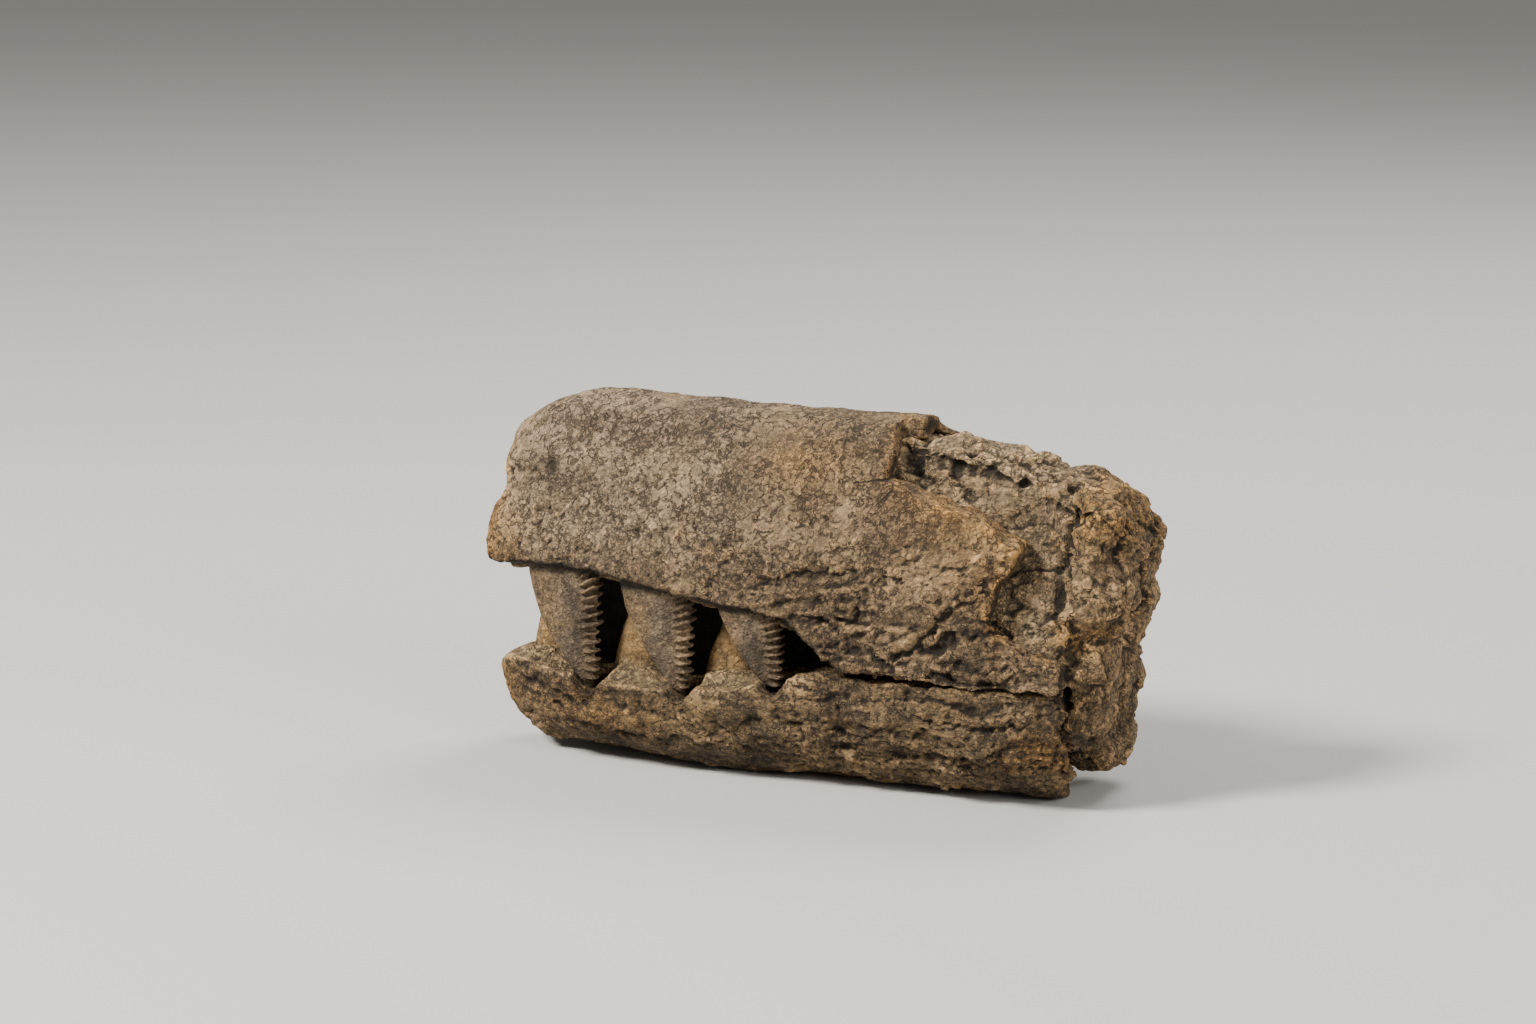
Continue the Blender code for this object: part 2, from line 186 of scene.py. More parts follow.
def weathering_tree():
    """Wears a fine mesh along its normals: lumps, lengthwise flakes, broken
    faces, pits, grain and crinkles.  It leaves two attributes for the
    material: fine and broad relief."""
    paired = [(f"{form} {what}", NUMBER, 0.001)
              for form in WEAR_FORMS for what in ("Depth", "Size")]
    tree, w, start, end = new_tree("weathered surface", "GeometryNodeTree", (
        ("Geometry", GEOMETRY, None), *paired, ("Flake Stretch", NUMBER, 4.0),
        ("Facet Slope", NUMBER, 0.0), ("Facet Size", NUMBER, 0.005), ("Seed", NUMBER, 0.0),
        ("Material", "NodeSocketMaterial", None)), (("Geometry", GEOMETRY),))

    position = w.node("GeometryNodeInputPosition").outputs[0]
    shift = w.node("ShaderNodeCombineXYZ",
                   inputs={0: start["Seed"], 1: 0.37, 2: start["Seed"]}).outputs[0]
    place = w.vector("ADD", position, shift)

    def painted(name):
        made = w.node("GeometryNodeInputNamedAttribute", data_type="FLOAT")
        made.inputs["Name"].default_value = name
        return made.outputs["Attribute"]

    def per(size):
        return w.over(1.0, start[size])

    lump = w.times(w.minus(w.noise(place, per("Lump Size"), 3.0), 0.5),
                  w.times(start["Lump Depth"], 2.5))

    torn = w.drift(place, TORN, 3.0, 0.0022)

    def facets(where, scale):
        """Broken faces: in each cell a plane that leans its own way."""
        cells = w.node("ShaderNodeTexVoronoi", feature="F1",
                       inputs={"Vector": where, "Scale": scale})
        lean = w.vector("SUBTRACT", cells.outputs["Color"], HALF_GREY)
        off = w.vector("SUBTRACT", where, cells.outputs["Position"])
        return w.vector("DOT_PRODUCT", off, lean)

    # Flakes: long plates that lean and lie over one another, with torn edges.
    bent = w.node("ShaderNodeVectorRotate", rotation_type="Y_AXIS",
                  inputs={"Vector": place, "Angle": math.radians(7)}).outputs[0]
    squeeze = w.node("ShaderNodeCombineXYZ",
                     inputs={0: w.over(1.0, start["Flake Stretch"]), 1: 0.7, 2: 1.0}).outputs[0]
    grainwise = w.vector("ADD", w.vector("MULTIPLY", bent, squeeze), torn)
    plates = w.node("ShaderNodeTexVoronoi", feature="SMOOTH_F1",
                    inputs={"Vector": grainwise, "Scale": per("Flake Size"), "Smoothness": 0.12})
    height = w.node("FunctionNodeSeparateColor", inputs={0: plates.outputs["Color"]}).outputs[0]
    ridges = w.noise(grainwise, w.times(per("Flake Size"), 1.3), 4.0, 0.6)
    flakes = w.plus(w.times(height, 0.4), w.times(ridges, 0.8))
    flakes = w.times(w.minus(flakes, 0.6), w.times(start["Flake Depth"], 1.6))
    leaning = w.times(facets(grainwise, w.times(per("Flake Size"), 0.55)), 0.5)
    flakes = w.times(w.plus(flakes, leaning), painted("flaky"))

    chips = w.vector("ADD", w.vector("MULTIPLY", place, (0.75, 0.8, 1.0)),
                     w.drift(place, BENT, 1.0, 0.003))
    broken = w.plus(facets(chips, per("Facet Size")),
                    w.times(facets(chips, w.times(per("Facet Size"), 2.6)), 0.9))
    broken = w.times(w.times(broken, start["Facet Slope"]), painted("rough"))

    hollow = w.ramp(w.noise(place, per("Pit Size"), 2.0, 0.6), 0.56, 0.72)
    pits = w.times(w.times(hollow, start["Pit Depth"]), -1.0)

    grain = w.times(w.minus(w.noise(place, per("Grain Size"), 3.0, 0.62), 0.5),
                   w.times(start["Grain Depth"], 2.2))
    # Crinkles: short creases where a slow noise passes its middle.
    fold = w.math("ABSOLUTE", w.minus(w.noise(place, per("Crinkle Size"), 3.0, 0.6), 0.5))
    gathered = w.noise(place, GATHERED, 2.0, 0.5)
    crease = w.times(w.ramp(fold, 0.045, 0.0), w.ramp(gathered, 0.42, 0.58))
    creases = w.times(w.times(crease, start["Crinkle Depth"]), -1.0)
    fine = w.times(w.plus(w.plus(pits, grain), creases), painted("rough"))
    total = w.plus(w.plus(lump, flakes), w.plus(fine, broken))
    total = w.times(total, painted("free"))
    normal = w.node("GeometryNodeInputNormal").outputs[0]
    offset = w.vector("SCALE", normal, scale=total)
    moved = w.node("GeometryNodeSetPosition",
                   inputs={"Geometry": start["Geometry"], "Offset": offset})

    # How far each point stands out of its surroundings, near and wide.
    geometry = moved.outputs[0]
    for name, rounds, reach in (("relief", 4, 0.00018), ("relief_wide", 26, 0.0007)):
        here = w.node("GeometryNodeInputPosition").outputs[0]
        blur = w.node("GeometryNodeBlurAttribute", data_type="FLOAT_VECTOR",
                      inputs={"Value": here, "Iterations": rounds, "Weight": 1.0})
        out = w.vector("DOT_PRODUCT", w.vector("SUBTRACT", here, blur.outputs["Value"]),
                       w.node("GeometryNodeInputNormal").outputs[0])
        keep = w.node("GeometryNodeStoreNamedAttribute", data_type="FLOAT", domain="POINT",
                      inputs={"Geometry": geometry, "Name": name, "Value": w.over(out, reach)})
        geometry = keep.outputs[0]
    dress(w, geometry, start, end)
    return tree


def set_inputs(modifier, values):
    """Sets a Geometry Nodes modifier's inputs by each socket's identifier."""
    for item in modifier.node_group.interface.items_tree:
        if item.item_type == "SOCKET" and item.in_out == "INPUT" and item.name in values:
            modifier[item.identifier] = values[item.name]


def bake(obj):
    """Turns an object's modifiers into plain mesh and takes them off."""
    graph = bpy.context.evaluated_depsgraph_get()
    graph.update()
    mesh = bpy.data.meshes.new_from_object(obj.evaluated_get(graph), preserve_all_data_layers=True,
                                           depsgraph=graph)
    obj.modifiers.clear()
    old = obj.data
    obj.data = mesh
    mesh.name = obj.name
    bpy.data.meshes.remove(old)
    return obj


# -------------------------------------------------------------- mesh helpers

def new_object(name, mesh):
    obj = bpy.data.objects.new(name, mesh)
    bpy.context.scene.collection.objects.link(obj)
    return obj


def copy_of_solid(node, name, extras=()):
    """A merged copy of a solid, with loose shapes put in to be fused by a remesh."""
    shape = bmesh.new()
    shape.from_mesh(frame["nodes"][node].data)
    bmesh.ops.remove_doubles(shape, verts=shape.verts, dist=1e-6)
    for centre, size in extras:
        made = bmesh.ops.create_icosphere(shape, subdivisions=3, radius=1.0)
        for vertex in made["verts"]:
            vertex.co = (Vector(centre) + Vector([c * s for c, s in zip(vertex.co, size)])) * MM
    mesh = bpy.data.meshes.new(name)
    shape.to_mesh(mesh)
    shape.free()
    return new_object(name, mesh)


def remesh(obj, voxel):
    step = obj.modifiers.new("fuse", "REMESH")
    step.mode = "VOXEL"
    step.voxel_size = voxel * MM
    step.use_smooth_shade = True
    return bake(obj)


def relax(obj, rounds, share=0.5):
    step = obj.modifiers.new("relax", "SMOOTH")
    step.factor = share
    step.iterations = rounds
    return bake(obj)


def points_of(obj):
    """The mesh's points and their outward normals, in millimetres."""
    mesh = obj.data
    count = len(mesh.vertices)
    points, normals = np.empty(count * 3, np.float32), np.empty(count * 3, np.float32)
    mesh.vertices.foreach_get("co", points)
    mesh.vertex_normals.foreach_get("vector", normals)
    return points.reshape(-1, 3).astype(float) / MM, normals.reshape(-1, 3).astype(float)


def put_points(obj, points):
    obj.data.vertices.foreach_set("co", (points * MM).astype(np.float32).ravel())
    obj.data.update()


def paint(obj, name, values):
    """Stores one number a point, for the node trees and the materials."""
    layer = obj.data.attributes.get(name) or obj.data.attributes.new(name, "FLOAT", "POINT")
    layer.data.foreach_set("value", np.asarray(values, np.float32))


def smooth(value, low, high):
    t = np.clip((value - low) / (high - low), 0.0, 1.0)
    return t * t * (3 - 2 * t)


def along_line(points, line):
    """How far points lie from a line of corners in the side view, and on which
    side: the second result is positive below the line (or ahead of it)."""
    x, y, z = points.T
    xz = np.stack((x + 0.45 * np.sin(1.3 * z + 0.7 * y) + 0.25 * np.sin(3.1 * z + 1.1),
                   z + 0.35 * np.sin(0.9 * x + 0.5 * y) + 0.25 * np.sin(2.7 * x + 0.4)), axis=1)
    best = np.full(len(xz), 1e9)
    side = np.zeros(len(xz))
    share = np.zeros(len(xz))
    lengths = [math.dist(a, b) for a, b in zip(line, line[1:])]
    done = 0.0
    for (a, b), length in zip(zip(line, line[1:]), lengths):
        a, b = np.array(a) + (ALONG, 0), np.array(b) + (ALONG, 0)
        run = b - a
        t = np.clip(((xz - a) @ run) / (run @ run), 0, 1)
        off = xz - (a + t[:, None] * run)
        far = np.hypot(off[:, 0], off[:, 1])
        near = far < best
        best[near] = far[near]
        side[near] = (run[0] * -off[:, 1] + run[1] * off[:, 0])[near]
        share[near] = (done + t[near] * length) / sum(lengths)
        done += length
    return best, np.sign(side), share


# ----------------------------------------------------------- the fossil's form

def curve(points):
    xs, ys = zip(*points)
    return lambda x: np.interp(np.asarray(x, float) - ALONG, xs, ys)


UPPER_HALF = curve((
    (-49.6, 1.8), (-49.1, 4.6), (-47.9, 7.6), (-45.0, 10.4), (-40.0, 12.6), (-30.0, 14.6),
    (-15.0, 16.4), (0.0, 17.6), (20.0, 18.5), (48.0, 18.5)))
LIP = curve((
    (-49.6, 28.4), (-44.0, 29.2), (-36.0, 30.3), (-30.0, 30.2), (-18.0, 28.8), (-9.0, 27.4),
    (0.0, 26.4), (5.5, 25.0), (13.0, 19.3), (20.0, 18.6), (48.0, 18.6)))
RIM = curve((
    (-47.0, 12.8), (-44.0, 14.2), (-41.0, 15.0), (-32.0, 14.0), (-18.0, 13.2), (-5.0, 14.6),
    (7.0, 17.2), (13.0, 17.9), (48.0, 18.2)))

# Where the bone has broken away on each side, from the ridge down to the seam.
LEFT_BREAK = (
    (17.0, 56.0), (17.2, 52.0), (18.6, 49.4), (18.0, 46.2), (25.6, 43.8), (35.2, 40.4),
    (39.0, 38.4), (39.0, 36.2), (36.4, 33.0), (36.0, 30.0), (35.0, 26.8), (39.0, 25.0),
    (43.6, 24.0), (47.0, 22.6))
RIGHT_BREAK = (
    (20.6, 56.0), (20.4, 51.2), (25.5, 48.6), (24.0, 44.6), (31.0, 40.0), (33.0, 36.6),
    (29.0, 33.0), (33.5, 28.6), (38.0, 26.4), (37.0, 22.4), (40.0, 18.0))

# Torn ledges and seams on the left side, as lines in the side view: each with
# its depth, its width and how dark the painted shade along it is.
UPPER_LEDGES = (
    (((37.3, 31.0), (36.3, 27.8), (33.7, 25.8), (28.6, 24.0), (23.5, 22.6), (19.8, 21.6)),
     1.0, 1.0, 1.0),
    (((12.6, 23.0), (18.2, 21.9), (21.4, 20.8), (25.8, 21.8)), 0.6, 0.6, 0.8),
    (((30.4, 21.1), (35.7, 21.0), (39.3, 21.9)), 0.7, 0.7, 0.9),
    (((27.0, 20.0), (33.0, 19.6), (38.0, 20.2)), 0.4, 0.5, 0.6),
    (((11.2, 28.9), (16.0, 27.6), (20.6, 27.6)), 0.35, 0.7, 0.5),
    (((4.0, 27.6), (9.0, 26.0), (14.0, 25.6)), 0.35, 0.6, 0.5),
    (((24.0, 29.8), (29.0, 28.2), (33.0, 28.6)), 0.4, 0.7, 0.5),
    (((-44.2, 42.2), (-41.2, 43.6), (-37.7, 44.3)), 0.5, 1.3, 0.45),
)
LOWER_LEDGES = (
    (((12.0, 15.4), (13.1, 9.0), (10.2, 0.4)), 0.5, 1.6, 0.5),
    (((-37.5, 10.4), (-30.0, 6.6), (-22.0, 4.8), (-12.0, 5.8)), 0.5, 0.8, 0.6),
    (((-41.0, 12.6), (-33.0, 10.4), (-27.5, 9.4)), 0.45, 0.7, 0.6),
    (((-25.0, 10.6), (-18.0, 9.6), (-10.0, 10.2)), 0.4, 0.7, 0.5),
    (((24.0, 13.4), (33.0, 12.6), (41.0, 13.4)), 0.5, 0.7, 0.6),
    (((20.0, 8.2), (30.0, 7.0), (38.0, 7.6)), 0.45, 0.8, 0.6),
    (((28.0, 15.8), (36.0, 15.4), (43.0, 16.0)), 0.35, 0.5, 0.5),
)

# Each tooth's front, back and tip along the snout, how it narrows, and for the
# upper ones the tip's height, the saw's points and the cheek's painted shade.
UPPER_TEETH = {
    "front": dict(front=-39.6, back=-24.6, tip=-28.2, tip_z=12.0, thick=4.6, sweep=2.3,
                  saw=13, shade=0.03),
    "middle": dict(front=-23.6, back=-8.9, tip=-12.7, tip_z=12.4, thick=4.8, sweep=2.0,
                   saw=13, shade=-0.14),
    "back": dict(front=-7.6, back=4.7, tip=2.3, tip_z=14.6, thick=4.4, sweep=1.75,
                 saw=11, shade=0.22),
}
LOWER_TEETH = {
    "front": dict(front=-41.6, back=-34.4, tip=-36.4, room=2.0, thick=3.8, sweep=0.9),
    "middle": dict(front=-27.0, back=-17.6, tip=-20.6, room=2.0, thick=4.0, sweep=1.5),
    "back": dict(front=-11.6, back=-2.6, tip=-5.4, room=2.0, thick=4.0, sweep=1.5),
}
ROOT = 2.4  # how deep a tooth sits in its socket
FANG_INSET, PEG_INSET = 1.5, 6.2  # from the snout's widest line in to a tooth's cheek
RIB_LENGTH = 2.4  # from the middle of a rib of the saw to its end

BONE_VOXEL, CHIN_VOXEL, PEG_VOXEL = 0.42, 0.40, 0.26
MOST_TRIANGLES, MOST_FANG_TRIANGLES = 190000, 34000


def hump(value, middle, width):
    """A soft bump: 1 at the middle, nearly 0 two widths away."""
    return np.exp(-((value - middle) / width) ** 2)


def spot(x, z, place, size):
    """A soft round patch in the side view."""
    return np.exp(-(((x - place[0]) / size[0]) ** 2 + ((z - place[1]) / size[1]) ** 2))


def carve(points, normals, lines, dark, side=-1):
    """Cuts ledges into one side: sharp above each line, easing out below, and
    paints shade along each ledge into the dark mask.
    """
    facing = smooth(side * normals[:, 1], 0.05, 0.35) * (side * points[:, 1] > 0)
    for line, depth, width, tone in lines:
        far, below, share = along_line(points, line)
        ends = smooth(share, 0.0, 0.12) * smooth(1 - share, 0.0, 0.12)
        reach = np.where(below > 0, 1.9 * width, 0.7 * width)
        cut = np.clip(1 - far / reach, 0, 1) ** 1.5 * facing * ends
        points -= normals * (depth * cut)[:, None]
        shadow = 0.7 * tone * np.clip(1 - far / (0.9 * width), 0, 1) * facing * ends
        dark[:] = np.maximum(dark, shadow)


def weather(obj, tree, material, seed, lumps, pits, grain, flakes=(0.0, 1.8), stretch=4.0,
            crinkles=(0.0, 3.0), facets=(0.0, 5.0), rounds=1):
    """Wears the surface, then softens the sharpest of it.  Each form of wear
    has its depth and its size, and facets have their slope and their size."""
    values = {"Flake Stretch": stretch, "Facet Slope": facets[0], "Facet Size": facets[1] * MM,
              "Seed": seed, "Material": material}
    for form, (depth, size) in zip(WEAR_FORMS, (lumps, flakes, pits, grain, crinkles)):
        values[f"{form} Depth"], values[f"{form} Size"] = depth * MM, size * MM
    step = obj.modifiers.new("weather", "NODES")
    step.node_group = tree
    set_inputs(step, values)
    bake(obj)
    return relax(obj, rounds, share=0.4)


def trim(obj, most):
    """Thins a mesh out to at most this many triangles."""
    count = sum(len(face.vertices) - 2 for face in obj.data.polygons)
    if count > most:
        step = obj.modifiers.new("thin out", "DECIMATE")
        step.ratio = most / count
        bake(obj)
    return obj


def finish_piece(obj, node):
    obj.data.shade_smooth()
    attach(obj, "root")
    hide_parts(node)
    return obj


def make_upper_jaw(tree, material):
    gum, gum_inset = [], 4.2
    for side in (-1, 1):
        for x in np.arange(-42.0, 6.0, 0.8):
            sway = 0.35 * math.sin(x * 0.95) + 0.2 * math.sin(x * 2.3 + 1)
            at = x + ALONG
            centre = (at, side * (float(UPPER_HALF(at)) - gum_inset),
                      float(LIP(at)) - 0.2 + sway * 0.4)
            gum.append((centre, (1.0, 1.8, 1.3 + 0.4 * sway)))
    jaw = copy_of_solid("upper_jaw", "snout_bone", gum)
    remesh(jaw, BONE_VOXEL)
    relax(jaw, 5)
    points, normals = points_of(jaw)
    x, y, z = points[:, 0] - ALONG, points[:, 1], points[:, 2]
    dark = np.zeros(len(points))
    carve(points, normals, UPPER_LEDGES, dark)
    # The front of the lip rounds off below the snout's tip.
    points[:, 0] += 2.4 * smooth(-x, 43.5, 49.0) * np.exp(-np.clip(z - 28.2, 0, 99) / 1.6)
    # A nostril pit on each side of the front, painted dark inside as shade, with a stain round it.
    for side in (-1, 1):
        pit = spot(x, z, (-35.6, 44.2), (2.0, 1.3)) * (side * y > 0)
        points[:, 1] -= side * 0.9 * pit
        stain = spot(x, z, (-36.2, 44.0), (3.0, 2.4)) * (side * y > 0)
        stain = 0.5 * stain * (0.6 + 0.4 * np.sin(2.1 * x + 1.7 * z))
        dark = np.maximum(dark, np.maximum(0.8 * pit, stain))
    put_points(jaw, points)

    outward = normals[:, 1] * np.sign(y) + 0.4 * normals[:, 2]
    inside = (outward < 0.0) & (z > LIP(points[:, 0]) + 0.5) & (x > 3)
    break_far = np.where(y < 0, along_line(points, LEFT_BREAK)[0],
                         along_line(points, RIGHT_BREAK)[0])
    paint(jaw, "flaky",
          0.12 + 0.88 * smooth(x + 0.9 * (36 - z), -16, 16) * (1 - smooth(z, 31, 42)))
    front_low = smooth(-x, 22, 34) * (1 - smooth(z, 36, 44))
    paint(jaw, "rough", 0.55 + 0.45 * smooth(-z, -50, -36) + 0.2 * front_low)
    paint(jaw, "free", np.where(inside, 0.1, 1.0) * np.where(z < LIP(points[:, 0]) - 0.2, 0.5, 1.0))
    # The lip's edge is painted dark, partly its own dark brown and partly the shadow of its
    # overhang; the downward faces just under it get painted shade.
    over_lip = z - LIP(points[:, 0])
    lip_edge = hump(over_lip, 0.1, 0.75) * (x < 10)
    under = smooth(-normals[:, 2], 0.2, 0.6) * (np.abs(over_lip) < 1.4) * (x < 9)
    half = UPPER_HALF(points[:, 0])
    under *= smooth(np.abs(y), half - 3.4, half - 2.2)
    lip_edge = 0.85 * lip_edge * (0.8 + 0.2 * np.sin(1.9 * x + 3.0 * np.sin(0.7 * x)))
    dark = np.maximum(dark, lip_edge)
    dark = np.maximum(dark, 0.85 * under)
    # Rusty colour on the broken edge, the nose, the flap behind and one patch above;
    # on the nose's forward faces the warm tint partly stands for a painted rim light.
    rim = np.exp(-break_far / 0.8) * (x > 12) * (0.5 + 0.35 * np.sin(1.3 * x + 0.9 * z + 0.8 * y))
    nose = (1.1 * smooth(-x, 43.5, 47.5) + 0.7 * smooth(-normals[:, 0], 0.55, 0.9) * (x < -36)
            + 0.6 * smooth(-x, 36, 44) * smooth(-z, -42, -34))
    flap = smooth(x, 14, 30) * smooth(z, 26, 34) * 0.5 * np.exp(-break_far / 6.0)
    brown = 0.42 * spot(x, z, (5.0, 48.0), (7.0, 4.0))
    paint(jaw, "ochre", np.clip(rim + nose * 0.9 + flap + brown, 0, 1))
    # A darker, streaked band along the top of the front, and darker ledges at the back.
    band = hump(z, 51.0, 1.6) * smooth(x, -36, -28) * (1 - smooth(x, 4, 14))
    dark = np.maximum(dark, 0.45 * band * (0.6 + 0.4 * np.sin(3.1 * z + 0.35 * x)))
    dark = dark + 0.22 * smooth(x, -2, 12) * (1 - smooth(z, 25, 33))
    paint(jaw, "grey", smooth(-x, -14, 18) * smooth(z, 27, 40) * (1 - brown))
    # Inward-facing faces above the lip toward the back get painted shade.
    paint(jaw, "dark", np.clip(dark + 0.7 * inside, 0, 1))
    paint(jaw, "gum", smooth(LIP(points[:, 0]) + 0.1 - z, 0.0, 0.5) * (x < 6))
    weather(jaw, tree, material, seed=1.3, lumps=(0.5, 10.0), flakes=(1.05, 1.8), stretch=3.0,
            pits=(0.06, 1.9), grain=(0.26, 1.3), crinkles=(0.28, 3.4), facets=(0.14, 3.2))
    return finish_piece(trim(jaw, MOST_TRIANGLES), "upper_jaw")


def make_lower_jaw(tree, material):
    # Each lower tooth stands in a mound of gum: its middle and its width.
    mounds = ((-38.0, 4.5), (-22.3, 5.2), (-7.1, 5.0))
    gum, gum_inset = [], 7.0
    for side in (-1, 1):
        for x in np.arange(-43.0, 8.0, 0.9):
            mound = max(math.exp(-((x - middle) / width) ** 2) for middle, width in mounds)
            at = x + ALONG
            centre = (at, side * (float(UPPER_HALF(at)) - gum_inset), float(RIM(at)) - 0.8)
            gum.append((centre, (1.3, 3.0, 1.0 + 1.5 * mound)))
    jaw = copy_of_solid("lower_jaw", "chin", gum)
    remesh(jaw, CHIN_VOXEL)
    relax(jaw, 5)
    points, normals = points_of(jaw)
    x, y, z = points[:, 0] - ALONG, points[:, 1], points[:, 2]
    dark = np.zeros(len(points))
    carve(points, normals, LOWER_LEDGES, dark)
    # The rim dips round the tip of each upper tooth, with painted shade in each dip.
    for t in UPPER_TEETH.values():
        dip = t["tip_z"] - 0.7 + 0.34 * (x - t["tip"]) ** 2
        over = (np.abs(y) > UPPER_HALF(points[:, 0]) - 7.5) & (z > dip)
        near = np.abs(x - t["tip"]) < 3.2
        dark = np.maximum(dark, 0.5 * over * np.exp(-((z - dip) / 1.6) ** 2) * near)
        points[:, 2] = np.where(over, dip, points[:, 2])
    put_points(jaw, points)
    # The broken back end swells in the middle and is notched above.
    bulge = 1.1 * hump(z, 6.5, 3.2) - 0.9 * hump(z, 12.0, 2.0) + 0.5 * np.sin(1.5 * z + 0.6 * y)
    points[:, 0] += bulge * smooth(x, 42.5, 46.0) * smooth(z, 0.5, 3.0)
    put_points(jaw, points)

    over_rim = z - RIM(points[:, 0])
    mound = smooth(over_rim, -1.0, 0.4) * (x < 9)
    paint(jaw, "flaky", (0.4 + 0.6 * smooth(x, -30, 20)) * smooth(z, 0.3, 2.0) * (1 - mound))
    paint(jaw, "rough", (0.8 + 0.5 * smooth(x, 38, 46)) * (1 - 0.45 * mound))
    paint(jaw, "free", smooth(z, 0.0, 1.2))
    corner = spot(x, z, (43.5, 9.5), (4.5, 2.6))
    chin = smooth(-x, 40, 46) * 0.9
    band = 0.5 * spot(x, z, (-27, 8.5), (12, 3.0))
    paint(jaw, "ochre", np.clip(corner + chin + band, 0, 1))
    paint(jaw, "grey", 0.25 * smooth(x, 10, 30) + 0.15)
    paint(jaw, "dark", dark)
    paint(jaw, "gum", smooth(over_rim, -1.6, 0.3) * (x < 9) * 0.9)
    weather(jaw, tree, material, seed=4.1, lumps=(0.8, 6.0), flakes=(0.90, 1.7), stretch=3.2,
            pits=(0.04, 1.9), grain=(0.28, 1.3), crinkles=(0.30, 3.6), facets=(0.20, 4.2))
    # The worn underside stays flat.
    points, _ = points_of(jaw)
    points[:, 2] = np.maximum(points[:, 2], 0.0)
    put_points(jaw, points)
    return finish_piece(trim(jaw, MOST_TRIANGLES), "lower_jaw")


def make_rock(tree, material):
    rock = copy_of_solid("rock", "bare_rock")
    remesh(rock, BONE_VOXEL)
    relax(rock, 10)
    points, normals = points_of(rock)
    x, y, z = points[:, 0] - ALONG, points[:, 1], points[:, 2]
    dark = np.zeros(len(points))
    bare = smooth(x, 15, 19)
    # A raised band runs back along the top, with a hollow under its edge: painted shade in the
    # hollow and a broken line of painted shadow just under the edge.
    edge = ((19.0, 49.9), (24.0, 49.0), (28.8, 48.4), (34.4, 46.8), (40.8, 44.6), (45.0, 43.6))
    far, below, share = along_line(points, edge)
    broken = smooth(np.sin(0.9 * x + z), -0.6, 0.5)
    for side in (-1, 1):
        facing = smooth(side * normals[:, 1], -0.1, 0.3) * (side * y > 2) * bare
        fading = np.exp(-np.clip(below * far, 0, 99) / 7.0)
        sink = facing * smooth(below * far, -0.3, 0.6) * fading
        points[:, 1] -= side * 1.3 * sink
        dark = np.maximum(dark, 0.30 * sink)
        dark = np.maximum(dark, 0.7 * facing * hump(below * far, 0.5, 0.7) * broken)
    # Deep joints: behind the bone's broken edge, down the corner of the end, and
    # one short one between them.  Each has its depth, width and the strength of its
    # painted shade.
    for joint in (
        (((18.6, 52.5), (20.3, 49.0), (21.5, 46.6), (24.0, 44.6)), 1.4, 1.4, 0.8),
        (((43.6, 47.4), (44.6, 44.9), (45.2, 37.0), (44.6, 30.3), (45.8, 25.0), (45.6, 18.2),
          (46.0, 10.0)), 1.6, 1.4, 0.5),
        (((37.0, 33.0), (38.4, 30.0), (37.0, 27.6)), 0.8, 1.3, 0.4),
    ):
        carve(points, normals, (joint,), dark)
    # Steps across the broken end, where beds of rock have come away, with painted shade just under
    # each step's edge.
    back = smooth(normals[:, 0], 0.1, 0.6) * smooth(x, 44, 47)
    for height, depth, tilt in ((13.0, 1.2, 0.22), (22.0, 0.8, -0.30), (30.5, 1.4, 0.26),
                                (39.0, 0.8, -0.12)):
        level = (z - height - tilt * y - 1.5 * np.sin(y * 0.33 + height)
                 - 0.5 * np.sin(y * 1.1 + 2 * height))
        step = np.exp(-np.clip(-level, 0, 99) / 3.0) * smooth(-level, -0.25, 0.25)
        points[:, 0] -= depth * step * back
        dark = np.maximum(dark, 0.4 * back * hump(level, -0.4, 0.6))
    put_points(rock, points)

    shown = smooth(x, 13, 17)
    paint(rock, "flaky", 0.3 + 0.6 * smooth(z, 42, 46) * (x < 46))
    paint(rock, "rough", 1.0 + 0.15 * smooth(x, 44, 48))
    paint(rock, "free", 0.3 + 0.7 * shown)
    top = 0.75 * smooth(x, 43, 47) * smooth(z, 36, 42)
    streak = smooth(x, 44, 48) * 0.2
    slot = spot(y, z, (-12.0, 25.5), (2.2, 2.2)) * smooth(x, 42, 45)
    paint(rock, "ochre", np.clip(0.9 * top + streak + slot, 0, 1))
    paint(rock, "grey", (1 - smooth(x, 40, 46)) * (0.45 + 0.5 * smooth(z, 45.5, 48.0)) + 0.1)
    # Ahead of where the rock shows, it is painted fully dark, as shade.
    paint(rock, "dark", np.clip(np.maximum(dark, 1 - shown), 0, 1))
    paint(rock, "gum", np.zeros(len(points)))
    weather(rock, tree, material, seed=7.7, lumps=(0.7, 8.0), flakes=(0.50, 2.0), stretch=2.8,
            pits=(0.0, 2.2), grain=(0.30, 1.3), crinkles=(0.35, 4.8), facets=(0.30, 6.2), rounds=2)
    return finish_piece(trim(rock, MOST_TRIANGLES), "rock")


# -------------------------------------------------------------------- teeth

def saw_tooth_mesh():
    """One cutting point of a tooth's back edge: a short blunt rib that tapers
    forward over the cheek.  It points to +X and is about one unit long."""
    shape = bmesh.new()
    bmesh.ops.create_icosphere(shape, subdivisions=2, radius=1.0)
    for vertex in shape.verts:
        c = vertex.co
        taper = math.sqrt(1.0 + max(c.x, 0.0) ** 2) - 0.55 * max(-c.x, 0.0) ** 1.5
        vertex.co = (c.x, c.y * taper, c.z * taper - 0.10 * max(c.x, 0.0) ** 2)
    mesh = bpy.data.meshes.new("cutting point")
    shape.to_mesh(mesh)
    shape.free()
    return mesh


